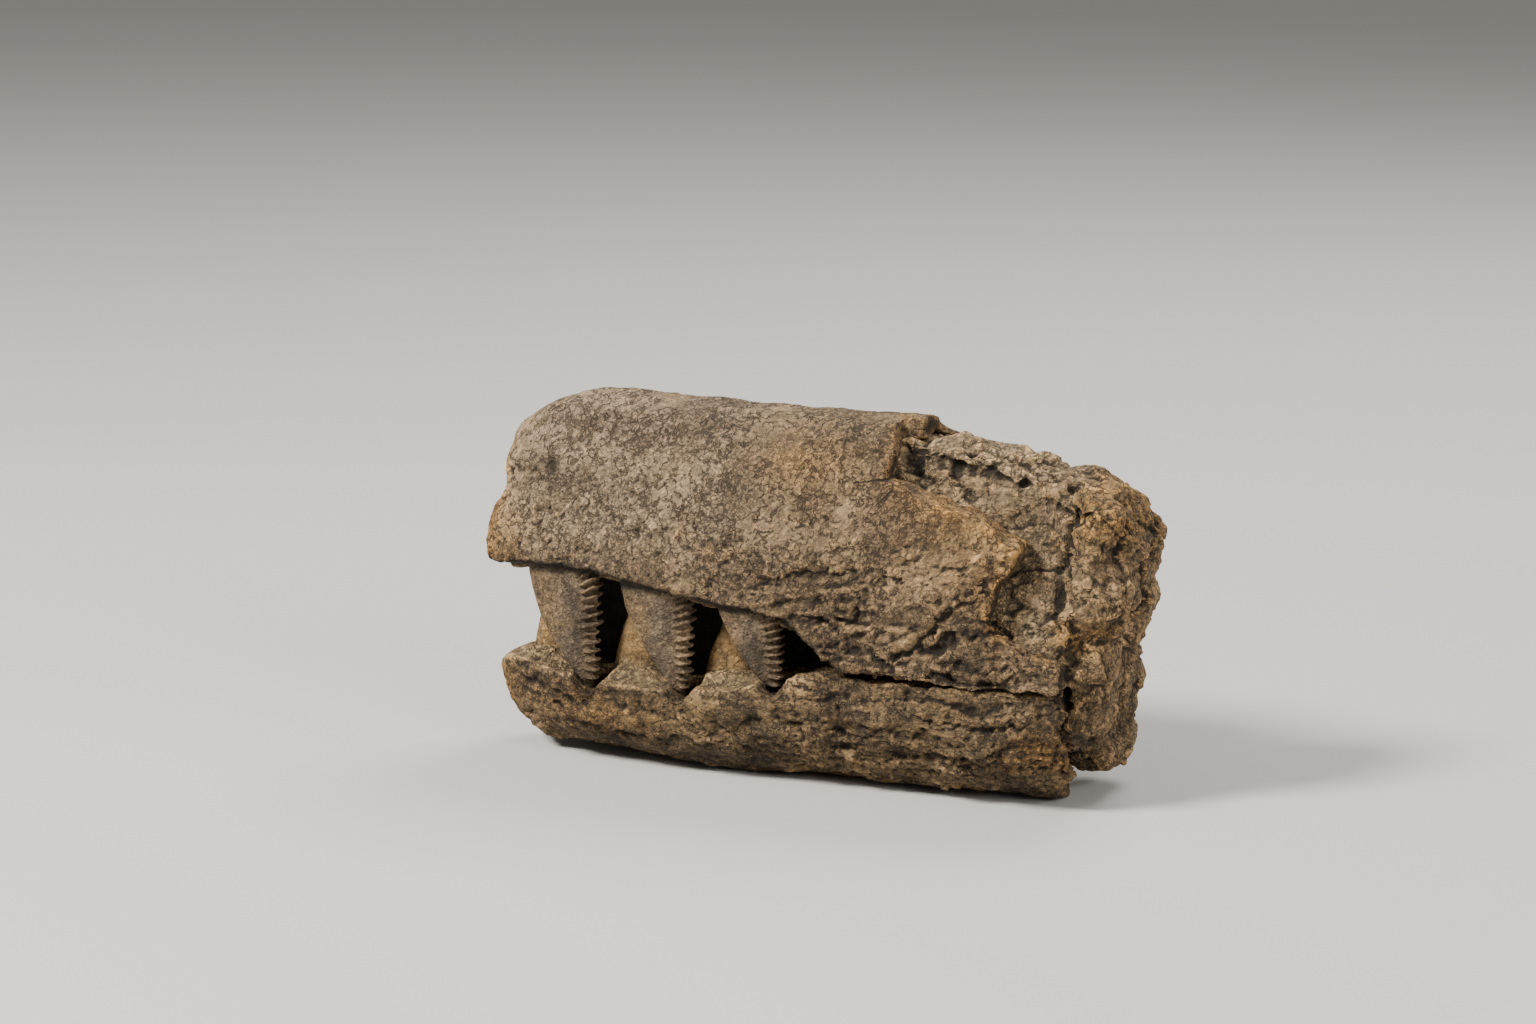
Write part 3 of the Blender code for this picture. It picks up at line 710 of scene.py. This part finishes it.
def saw_edge_tree():
    """Puts cutting points along an edge and fuses them with the tooth."""
    tree, w, start, end = new_tree("saw edge", "GeometryNodeTree", (
        ("Geometry", GEOMETRY, None), ("Edge", "NodeSocketObject", None),
        ("Cutting Point", "NodeSocketObject", None), ("Count", "NodeSocketInt", 12),
        ("Length", NUMBER, 0.0022), ("Width", NUMBER, 0.0016), ("Height", NUMBER, 0.0005),
        ("Taper", NUMBER, 0.5), ("Tilt", NUMBER, 0.5), ("Unevenness", NUMBER, 0.12),
        ("Fuse Size", NUMBER, 0.00018), ("Seed", "NodeSocketInt", 1),
        ("Material", "NodeSocketMaterial", None)), (("Geometry", GEOMETRY),))
    edge = w.node("GeometryNodeObjectInfo", inputs={"Object": start["Edge"]}).outputs["Geometry"]
    line = w.node("GeometryNodeMeshToCurve", inputs={"Mesh": edge}).outputs[0]
    marks = w.node("GeometryNodeCurveToPoints", mode="COUNT",
                   inputs={"Curve": line, "Count": start["Count"]})
    # The points shrink toward the tip, each a little bigger or smaller by chance.
    index = w.node("GeometryNodeInputIndex").outputs[0]
    share = w.over(index, start["Count"])
    shrink = w.minus(1.0, w.times(share, start["Taper"]))
    uneven = w.node("FunctionNodeRandomValue", data_type="FLOAT")
    limits = (w.minus(1.0, start["Unevenness"]), w.plus(1.0, start["Unevenness"]))
    for socket, value in zip([s for s in uneven.inputs if s.enabled],
                             (*limits, index, start["Seed"])):
        w.feed(socket, value)
    size = w.times(shrink, [s for s in uneven.outputs if s.enabled][0])
    scale = w.node("ShaderNodeCombineXYZ", inputs={
        0: w.times(size, start["Length"]), 1: w.times(size, start["Width"]),
        2: w.times(w.math("POWER", size, 0.4), start["Height"])})
    point = w.node("GeometryNodeObjectInfo", inputs={"Object": start["Cutting Point"]})
    lean = w.times(w.minus(share, 0.85), start["Tilt"])
    turn = w.node("ShaderNodeCombineXYZ", inputs={1: lean})
    placed = w.node("GeometryNodeInstanceOnPoints", inputs={
        "Points": marks.outputs["Points"], "Instance": point.outputs["Geometry"],
        "Rotation": turn.outputs[0], "Scale": scale.outputs[0]})
    real = w.node("GeometryNodeRealizeInstances", inputs={"Geometry": placed.outputs[0]}).outputs[0]
    both = w.node("GeometryNodeJoinGeometry")
    w.tree.links.new(start["Geometry"], both.inputs[0])
    w.tree.links.new(real, both.inputs[0])
    volume = w.node("GeometryNodeMeshToVolume", resolution_mode="VOXEL_SIZE",
                    inputs={"Mesh": both.outputs[0], "Voxel Size": start["Fuse Size"],
                            "Interior Band Width": 0.0008}).outputs[0]
    skin = w.node("GeometryNodeVolumeToMesh", resolution_mode="GRID", inputs={"Volume": volume})
    dress(w, skin.outputs[0], start, end)
    return tree


def tooth_shape(side, tooth, root_z, tip_z, inset, back_off=0.0, rows=54, sides=40):
    """Rings of a pointed tooth from its root to its tip, and the line of its
    back edge."""
    front, back, tip, thick = (tooth[key] for key in ("front", "back", "tip", "thick"))
    blunt_from, least, tip_front, tip_back = 0.9, 0.12, 1.4, 1.1
    rings, edge = [], []
    for i in range(rows + 1):
        s = i / rows
        rounding = 0.0 if s < blunt_from else (s - blunt_from) / (1 - blunt_from)
        full = least + (1 - least) * math.sqrt(max(0.0, 1 - rounding ** 2))
        fore = front + (tip - tip_front - front) * s ** tooth["sweep"]
        aft = back - back_off + (tip + tip_back - back) * s ** 0.4
        half = (aft - fore) / 2 * full
        deep = thick / 2 * (1 - 0.72 * s ** 1.5) * full
        z = root_z + (tip_z - root_z) * s
        ring = []
        for k in range(sides):
            angle = 2 * math.pi * k / sides
            c, n = math.cos(angle), math.sin(angle)
            x = (fore + aft) / 2 + c * half + ALONG
            middle = side * (float(UPPER_HALF(x)) - inset - thick / 2)
            ring.append((x, middle + n * deep * (1 - 0.28 * c), z))
        rings.append(ring)
        middle = side * (float(UPPER_HALF(ring[0][0])) - inset - thick / 2)
        edge.append(((fore + aft) / 2 + half + ALONG, middle, z))
    return rings, edge


def mesh_of_rings(name, rings):
    shape = bmesh.new()
    rows = [[shape.verts.new(Vector(p) * MM) for p in ring] for ring in rings]
    for row, after in zip(rows, rows[1:]):
        for i in range(len(row)):
            j = (i + 1) % len(row)
            shape.faces.new((row[i], row[j], after[j], after[i]))
    for row in (rows[0], rows[-1]):
        shape.faces.new(row)
    bmesh.ops.recalc_face_normals(shape, faces=shape.faces)
    mesh = bpy.data.meshes.new(name)
    shape.to_mesh(mesh)
    shape.free()
    return mesh


def edge_object(name, places):
    mesh = bpy.data.meshes.new(name)
    joins = [(i, i + 1) for i in range(len(places) - 1)]
    mesh.from_pydata([Vector(p) * MM for p in places], joins, [])
    return new_object(name, mesh)


def make_fang(side, word, where, t, saw_tree, cutting_point, wear, material):
    """One upper tooth, with its saw edge."""
    node = f"upper_{word}_tooth_{where}"
    lip = float(LIP((t["front"] + t["back"]) / 2 + ALONG))
    rings, edge = tooth_shape(side, t, lip + ROOT, t["tip_z"], FANG_INSET, back_off=0.9)
    tooth = new_object(f"fang_{word}_{where}", mesh_of_rings(node, rings))
    # The ribs run from under the lip nearly to the tip.  They sit in the edge by
    # their length, half as deep at the tip, and stand out of it a little.
    first_row, last_row, stand_out = 9, 52, 0.85
    saw = edge[first_row:last_row]
    line = edge_object("edge", [(x + stand_out - RIB_LENGTH * (1 - 0.5 * i / len(saw)), y, z)
                                for i, (x, y, z) in enumerate(saw)])
    step = tooth.modifiers.new("saw", "NODES")
    step.node_group = saw_tree
    set_inputs(step, {
        "Edge": line, "Cutting Point": cutting_point, "Count": t["saw"],
        "Length": RIB_LENGTH * MM, "Width": 0.0026, "Height": 0.00052, "Taper": 0.5, "Tilt": 0.7,
        "Unevenness": 0.14, "Fuse Size": 0.00017, "Seed": 3 + len(node), "Material": material})
    bake(tooth)
    bpy.data.objects.remove(line)
    relax(tooth, 2)
    points, _ = points_of(tooth)
    height = (points[:, 2] - t["tip_z"]) / (lip - t["tip_z"])
    edge_x, _, edge_z = zip(*edge[::-1])
    ahead = points[:, 0] - np.interp(points[:, 2], edge_z, edge_x)
    for name, value in (("flaky", 0.0), ("rough", 1.0), ("free", 1.0)):
        paint(tooth, name, np.full(len(points), value))
    paint(tooth, "ochre", np.clip(0.5 * hump(height, 0.55, 0.35) * smooth(-ahead, 4.0, 9.0), 0, 1))
    paint(tooth, "grey", 0.6 * smooth(-ahead, 1.0, 4.0) * (1 - smooth(-ahead, 4.0, 8.0)))
    # Painted shade on the cheek in front of the ribs, fading toward the lip, plus each tooth's own
    # painted shade.
    cheek = 0.45 * hump(ahead, -3.2, 2.0) * (1 - 0.6 * smooth(height, 0.5, 0.9))
    cheek += t["shade"]
    # A painted shadow of the lip across the top of the tooth.
    lip_shadow = 0.9 * smooth(height, 0.88, 0.97)
    paint(tooth, "dark", np.clip(np.maximum(cheek, lip_shadow), 0, 1))
    paint(tooth, "gum", smooth(height, 0.85, 1.0))
    weather(tooth, wear, material, seed=2.0 + len(word), lumps=(0.20, 4.0), pits=(0.07, 1.2),
            grain=(0.16, 0.9))
    finish_piece(trim(tooth, MOST_FANG_TRIANGLES), node)


def make_peg(side, word, where, t, wear, material):
    """One lower tooth: plain, and seen between the upper ones."""
    node = f"lower_{word}_tooth_{where}"
    at = (t["front"] + t["back"]) / 2 + ALONG
    rings, _ = tooth_shape(side, t, float(RIM(at)) - ROOT, float(LIP(at)) - t["room"], PEG_INSET,
                           rows=40, sides=32)
    tooth = new_object(f"low_tooth_{word}_{where}", mesh_of_rings(node, rings))
    remesh(tooth, PEG_VOXEL)
    relax(tooth, 3)
    points, _ = points_of(tooth)
    for name, value in (("flaky", 0.0), ("rough", 0.9), ("free", 1.0), ("grey", 0.0)):
        paint(tooth, name, np.full(len(points), value))
    height, behind = points[:, 2], points[:, 0] - ALONG - t["tip"]
    # Painted shade: darker toward the top and toward the back.
    paint(tooth, "dark", 0.5 * smooth(height, 18.5, 25.0) + 0.3 * smooth(behind, -1.0, 4.0))
    paint(tooth, "ochre", 0.4 + 0.5 * smooth(height, 14.0, 20.0))
    paint(tooth, "gum", 1 - smooth(height, 13.5, 16.5))
    weather(tooth, wear, material, seed=9.0 + len(word), lumps=(0.3, 4.0), pits=(0.08, 1.2),
            grain=(0.18, 0.9), crinkles=(0.1, 3.0))
    finish_piece(tooth, node)


def make_teeth(wear, material_upper, material_lower):
    saw_tree = saw_edge_tree()
    cutting_point = new_object("cutting point", saw_tooth_mesh())
    for side, word in ((-1, "left"), (1, "right")):
        for where, t in UPPER_TEETH.items():
            make_fang(side, word, where, t, saw_tree, cutting_point, wear, material_upper)
        for where, t in LOWER_TEETH.items():
            make_peg(side, word, where, t, wear, material_lower)
    bpy.data.objects.remove(cutting_point)


# ---------------------------------------------------------------- materials

# Crevice is the colour of the painted shade in hollows and creases and of the dark mask, which
# holds painted shade and some dark marks.
SKIN_COLOURS = ("Main", "Deep", "Ochre", "Grey", "Gum", "Crevice")
SKIN_SIZES = ("Patch Size", "Mottle Size", "Grain Size", "Granule Size", "Crinkle Size")
SKIN_SHARES = ("Mottle", "Specks", "Creases", "Hollows", "Wear", "Scratches")
CRACK_COLOUR, CRACK_DEPTH = (0.012, 0.008, 0.005, 1), 1.2


def aged_skin_group():
    """Colour, roughness and fine height of weathered bone or rock, from broad
    patches down to grains, with painted shade in hollows and creases, and paler
    where it stands proud, partly from wear and partly as a painted highlight."""
    colours = [(name, COLOUR, None) for name in SKIN_COLOURS]
    sizes = [(name, NUMBER, 0.001) for name in SKIN_SIZES]
    shares = [(name, NUMBER, 0.0) for name in SKIN_SHARES]
    group, w, start, end = new_tree(
        "aged skin", "ShaderNodeTree", colours + sizes + shares,
        (("Color", COLOUR), ("Roughness", NUMBER), ("Height", NUMBER)))
    place = w.node("ShaderNodeTexCoord").outputs["Object"]

    def painted(name):
        return w.node("ShaderNodeAttribute", attribute_name=name).outputs["Fac"]

    def per(size):
        return w.over(1.0, start[size])

    def scaled(colour, factor):
        return w.mix(1.0, colour, factor, "MULTIPLY")

    patch = w.noise(place, per("Patch Size"), 4.0, 0.6)
    aside = w.vector("ADD", place, (0.31, 0.17, 0.43))
    other = w.noise(aside, per("Patch Size"), 5.0, 0.65)
    longer = w.vector("MULTIPLY", place, (0.6, 1.0, 1.0))
    broad = w.noise(longer, w.times(per("Patch Size"), 1.7), 4.0, 0.6)
    mottle = w.noise(place, per("Mottle Size"), 5.0, 0.68)
    grain = w.noise(place, per("Grain Size"), 2.0, 0.6)
    stretched = w.vector("MULTIPLY", place, (0.22, 0.6, 1.0))
    strands = w.noise(stretched, w.times(per("Mottle Size"), 1.6), 5.0, 0.65, distortion=0.4)

    # Granules: small rounded grains of uneven size, warped so that no cell shows.
    warp = w.drift(place, per("Granule Size"), 2.0, w.times(start["Granule Size"], 1.5))
    warped = w.vector("ADD", place, warp)
    cells = w.node("ShaderNodeTexVoronoi", feature="F1",
                   inputs={"Vector": warped, "Scale": per("Granule Size")})
    granule = w.ramp(cells.outputs["Distance"], 0.75, 0.1)
    tone = w.node("ShaderNodeSeparateColor", inputs={0: cells.outputs["Color"]}).outputs[0]
    # Crinkles: thin broken creases at two sizes.
    fold = w.math("ABSOLUTE", w.minus(w.noise(warped, per("Crinkle Size"), 3.0, 0.6), 0.5))
    crease = w.times(w.ramp(fold, 0.040, 0.004), w.ramp(other, 0.34, 0.48))
    small = w.noise(warped, w.times(per("Crinkle Size"), 2.7), 2.0, 0.6)
    small = w.ramp(w.math("ABSOLUTE", w.minus(small, 0.5)), 0.05, 0.005)
    crease = w.math("MAXIMUM", crease, w.times(small, w.ramp(patch, 0.62, 0.45, 0.1, 0.75)))

    # Broad colours: two tones of the skin, grey and rusty stains, pale gum.
    colour = w.mix(w.ramp(patch, 0.36, 0.62), start["Deep"], start["Main"])
    greyed = w.times(painted("grey"), w.ramp(other, 0.3, 0.6, 0.35, 1.0))
    colour = w.mix(greyed, colour, start["Grey"])
    stain = w.plus(painted("ochre"), w.ramp(other, 0.58, 0.74, 0.0, 0.5), clamp=True)
    colour = w.mix(w.times(stain, w.ramp(mottle, 0.32, 0.58, 0.35, 1.0)), colour, start["Ochre"])
    colour = w.mix(painted("gum"), colour, start["Gum"])
    # Lighter and darker: mottling, broad patches, strands, granules, pale scratches.
    shade = w.plus(w.times(w.minus(mottle, 0.5), start["Mottle"]), 1.0)
    shade = w.plus(shade, w.times(w.minus(broad, 0.5), 1.5))
    lines = w.times(w.times(w.minus(strands, 0.5), painted("flaky")), 1.6)
    cast = w.minus(w.math("MULTIPLY_ADD", tone, 0.6, w.times(granule, 0.6)), 0.6)
    cast = w.times(cast, start["Specks"])
    turned = w.node("ShaderNodeVectorRotate", rotation_type="Y_AXIS",
                    inputs={"Vector": place, "Angle": 0.9}).outputs[0]
    streak = w.noise(w.vector("MULTIPLY", turned, (0.10, 0.3, 1.0)), SCRATCHED, 2.0, 0.5,
                     distortion=0.3)
    streak = w.times(w.ramp(streak, 0.62, 0.72), w.ramp(other, 0.62, 0.42))
    streak = w.times(streak, start["Scratches"])
    shade = w.plus(w.plus(w.plus(shade, lines), cast), streak)
    shade = w.node("ShaderNodeCombineColor", inputs={0: shade, 1: shade, 2: shade}).outputs[0]
    colour = scaled(colour, shade)
    bright = w.times(w.times(w.ramp(tone, 0.72, 0.95), granule), start["Specks"])
    colour = w.mix(bright, colour, scaled(colour, (1.55, 1.50, 1.42, 1)))
    faint = w.times(w.ramp(grain, 0.46, 0.30), start["Specks"])
    colour = w.mix(faint, colour, scaled(colour, (0.5, 0.46, 0.42, 1)))

    # Paler on what stands proud, partly wear and partly painted highlight; painted shade in what
    # lies deep and in creases; then the dark mask's painted shade and dark marks.
    relief, wide = painted("relief"), painted("relief_wide")
    proud = w.times(w.ramp(relief, 0.1, 1.0), start["Wear"])
    colour = w.mix(proud, colour, scaled(colour, (1.8, 1.68, 1.5, 1)))
    hollow_shade = w.times(w.ramp(relief, 0.0, -1.0), start["Hollows"])
    wide_hollow_shade = w.times(w.ramp(wide, 0.0, -1.2), start["Hollows"])
    colour = w.mix(wide_hollow_shade, colour, w.mix(0.65, colour, start["Crevice"]))
    deepest_shade = w.math("MAXIMUM", hollow_shade, w.times(crease, start["Creases"]))
    colour = w.mix(deepest_shade, colour, start["Crevice"])
    colour = w.mix(painted("dark"), colour, start["Crevice"])
    w.feed(end["Color"], colour)
    w.feed(end["Roughness"], w.ramp(mottle, 0.3, 0.7, 0.92, 0.74))
    height = w.plus(w.times(mottle, 0.85), w.times(granule, 0.22))
    height = w.plus(height, w.times(grain, 0.3))
    height = w.plus(height, w.times(strands, w.times(painted("flaky"), 0.9)))
    w.feed(end["Height"], w.minus(height, w.times(crease, 0.45)))
    return group


def hairline_group():
    """A mask for one hairline crack between two places in the side view.  It
    shows on the left side only."""
    group, w, start, end = new_tree("hairline crack", "ShaderNodeTree", (
        ("Start", "NodeSocketVector", (0, 0, 0)), ("End", "NodeSocketVector", (0.01, 0, 0)),
        ("Width", NUMBER, 0.00015), ("Wander", NUMBER, 0.0006)), (("Mask", NUMBER),))
    place = w.node("ShaderNodeTexCoord").outputs["Object"]
    sway = w.drift(place, WANDERED, 2.0, start["Wander"])
    flat = w.vector("MULTIPLY", w.vector("ADD", place, sway), (1, 0, 1))
    run = w.vector("SUBTRACT", start["End"], start["Start"])
    off = w.vector("SUBTRACT", flat, start["Start"])
    share = w.over(w.vector("DOT_PRODUCT", off, run), w.vector("DOT_PRODUCT", run, run), clamp=True)
    foot = w.vector("SCALE", run, scale=share)
    gap = w.node("ShaderNodeVectorMath", operation="DISTANCE", inputs={0: off, 1: foot})
    thin = w.times(start["Width"], w.minus(1.15, share))
    near = w.ramp(gap.outputs["Value"], w.times(thin, 1.6), w.times(thin, 0.4))
    left = w.node("ShaderNodeSeparateXYZ", inputs={0: place}).outputs[1]
    w.feed(end["Mask"], w.times(near, w.math("LESS_THAN", left, 0.0)))
    return group


def skin_material(name, skin, bump, colours, sizes, shares, cracks=(), hairline=None):
    """Aged skin in the colours, sizes in millimetres and shares named above,
    with any hairline cracks drawn over it."""
    material = bpy.data.materials.new(name)
    material.use_nodes = True
    w = Wiring(material.node_tree)
    shader = material.node_tree.nodes["Principled BSDF"]
    shader.inputs["Specular IOR Level"].default_value = 0.35
    layer = w.node("ShaderNodeGroup", node_tree=skin)
    for key, value in zip(SKIN_COLOURS, colours):
        layer.inputs[key].default_value = (*value, 1.0)
    for key, value in zip(SKIN_SIZES, sizes):
        layer.inputs[key].default_value = value * MM
    for key, value in zip(SKIN_SHARES, shares):
        layer.inputs[key].default_value = value
    colour, height = layer.outputs["Color"], layer.outputs["Height"]
    for (x0, z0), (x1, z1), width in cracks:
        crack = w.node("ShaderNodeGroup", node_tree=hairline)
        crack.inputs["Start"].default_value = ((x0 + ALONG) * MM, 0, z0 * MM)
        crack.inputs["End"].default_value = ((x1 + ALONG) * MM, 0, z1 * MM)
        crack.inputs["Width"].default_value = width * MM
        colour = w.mix(w.times(crack.outputs["Mask"], 0.9), colour, CRACK_COLOUR)
        height = w.minus(height, w.times(crack.outputs["Mask"], CRACK_DEPTH))
    w.feed(shader.inputs["Base Color"], colour)
    w.feed(shader.inputs["Roughness"], layer.outputs["Roughness"])
    lift = w.node("ShaderNodeBump",
                  inputs={"Height": height, "Strength": 0.9, "Distance": bump * MM})
    w.feed(shader.inputs["Normal"], lift.outputs["Normal"])
    return material


def make_materials():
    skin, hairline = aged_skin_group(), hairline_group()
    snout = skin_material(
        "weathered snout bone", skin, 0.90,
        ((0.222, 0.150, 0.079), (0.108, 0.071, 0.038), (0.300, 0.160, 0.044),
         (0.262, 0.191, 0.119), (0.245, 0.172, 0.092), (0.010, 0.006, 0.003)),
        (11.0, 1.3, 0.40, 0.55, 2.4), (0.95, 0.45, 0.85, 0.90, 0.8, 1.0),
        (((18.3, 46.2), (13.3, 45.4), 0.15), ((19.6, 44.9), (17.2, 42.6), 0.13)), hairline)
    chin = skin_material(
        "dark chin bone", skin, 0.80,
        ((0.150, 0.098, 0.045), (0.066, 0.042, 0.019), (0.225, 0.122, 0.034),
         (0.108, 0.079, 0.046), (0.250, 0.172, 0.088), (0.008, 0.005, 0.003)),
        (10.0, 1.4, 0.42, 0.60, 2.7), (1.3, 0.50, 0.8, 0.85, 0.7))
    stone = skin_material(
        "bare rock", skin, 0.90,
        ((0.246, 0.170, 0.091), (0.132, 0.090, 0.047), (0.265, 0.148, 0.046),
         (0.305, 0.216, 0.121), (0.18, 0.14, 0.09), (0.008, 0.006, 0.004)),
        (8.0, 1.4, 0.42, 0.60, 2.6), (1.4, 0.55, 0.8, 0.85, 0.8))
    fang = skin_material(
        "saw-edged tooth", skin, 0.55,
        ((0.185, 0.126, 0.071), (0.092, 0.062, 0.036), (0.260, 0.158, 0.062),
         (0.150, 0.116, 0.080), (0.210, 0.162, 0.100), (0.012, 0.008, 0.005)),
        (6.0, 1.4, 0.35, 0.60, 3.4), (1.2, 0.6, 0.45, 0.95, 0.9))
    peg = skin_material(
        "tan lower tooth", skin, 0.35,
        ((0.200, 0.132, 0.064), (0.110, 0.070, 0.034), (0.260, 0.156, 0.060),
         (0.160, 0.120, 0.075), (0.190, 0.145, 0.088), (0.014, 0.009, 0.005)),
        (6.0, 1.6, 0.35, 0.60, 3.4), (1.0, 0.6, 0.35, 0.7, 0.5))
    return snout, chin, stone, fang, peg


# --------------------------------------------------------- floor, light, view

FLOOR_HALF_M = 6.0
FLOOR_COLOUR = (0.50, 0.49, 0.475, 1)
SKY_COLOUR, SKY_STRENGTH = (1.0, 0.97, 0.93, 1), 0.30
CAMERA_AZIMUTH, CAMERA_ELEVATION = math.radians(22), math.radians(11)
CAMERA_DISTANCE, CAMERA_FOCAL, CAMERA_SENSOR = 630.0, 100.0, 36.0
CAMERA_AIM = (-4.84 + ALONG, 0.54, 37.69)


def aim(obj, target):
    direction = Vector(target) * MM - obj.location
    obj.rotation_euler = direction.to_track_quat("-Z", "Y").to_euler()


def area_light(name, place, target, size, power, colour=(1.0, 0.98, 0.95)):
    light = bpy.data.lights.new(name, "AREA")
    light.shape = "DISK"
    light.size, light.energy, light.color = size * MM, power, colour
    obj = new_object(name, light)
    obj.location = Vector(place) * MM
    aim(obj, target)


def set_stage():
    corners = [(x * FLOOR_HALF_M, y * FLOOR_HALF_M, 0)
               for x, y in ((-1, -1), (1, -1), (1, 1), (-1, 1))]
    mesh = bpy.data.meshes.new("floor")
    mesh.from_pydata(corners, [], [(0, 1, 2, 3)])
    floor = new_object("floor", mesh)
    pale = bpy.data.materials.new("pale floor")
    pale.use_nodes = True
    shader = pale.node_tree.nodes["Principled BSDF"]
    shader.inputs["Base Color"].default_value = FLOOR_COLOUR
    shader.inputs["Roughness"].default_value = 0.9
    mesh.materials.append(pale)

    world = bpy.data.worlds.new("studio")
    world.use_nodes = True
    sky = world.node_tree.nodes["Background"].inputs
    sky["Color"].default_value, sky["Strength"].default_value = SKY_COLOUR, SKY_STRENGTH
    bpy.context.scene.world = world
    area_light("key light", (-420, -520, 620), (0, 0, 28), 240, 18.0, (1.0, 0.96, 0.89))
    area_light("side light", (640, -420, 360), (10, 0, 28), 300, 4.5, (1.0, 0.97, 0.93))
    area_light("top light", (120, 480, 640), (0, 0, 40), 400, 5.0)

    camera = bpy.data.cameras.new("camera")
    camera.lens, camera.sensor_width = CAMERA_FOCAL, CAMERA_SENSOR
    camera.clip_start, camera.clip_end = 0.01, 30.0
    view = new_object("camera", camera)
    level = math.cos(CAMERA_ELEVATION)
    back = Vector((math.sin(CAMERA_AZIMUTH) * level, -math.cos(CAMERA_AZIMUTH) * level,
                   math.sin(CAMERA_ELEVATION)))
    view.location = (Vector(CAMERA_AIM) + back * CAMERA_DISTANCE) * MM
    aim(view, CAMERA_AIM)
    bpy.context.scene.camera = view


set_stage()
snout_bone, chin_bone, bare_rock, fang_enamel, peg_enamel = make_materials()
weathering = weathering_tree()
make_upper_jaw(weathering, snout_bone)
make_lower_jaw(weathering, chin_bone)
make_rock(weathering, bare_rock)
make_teeth(weathering, fang_enamel, peg_enamel)
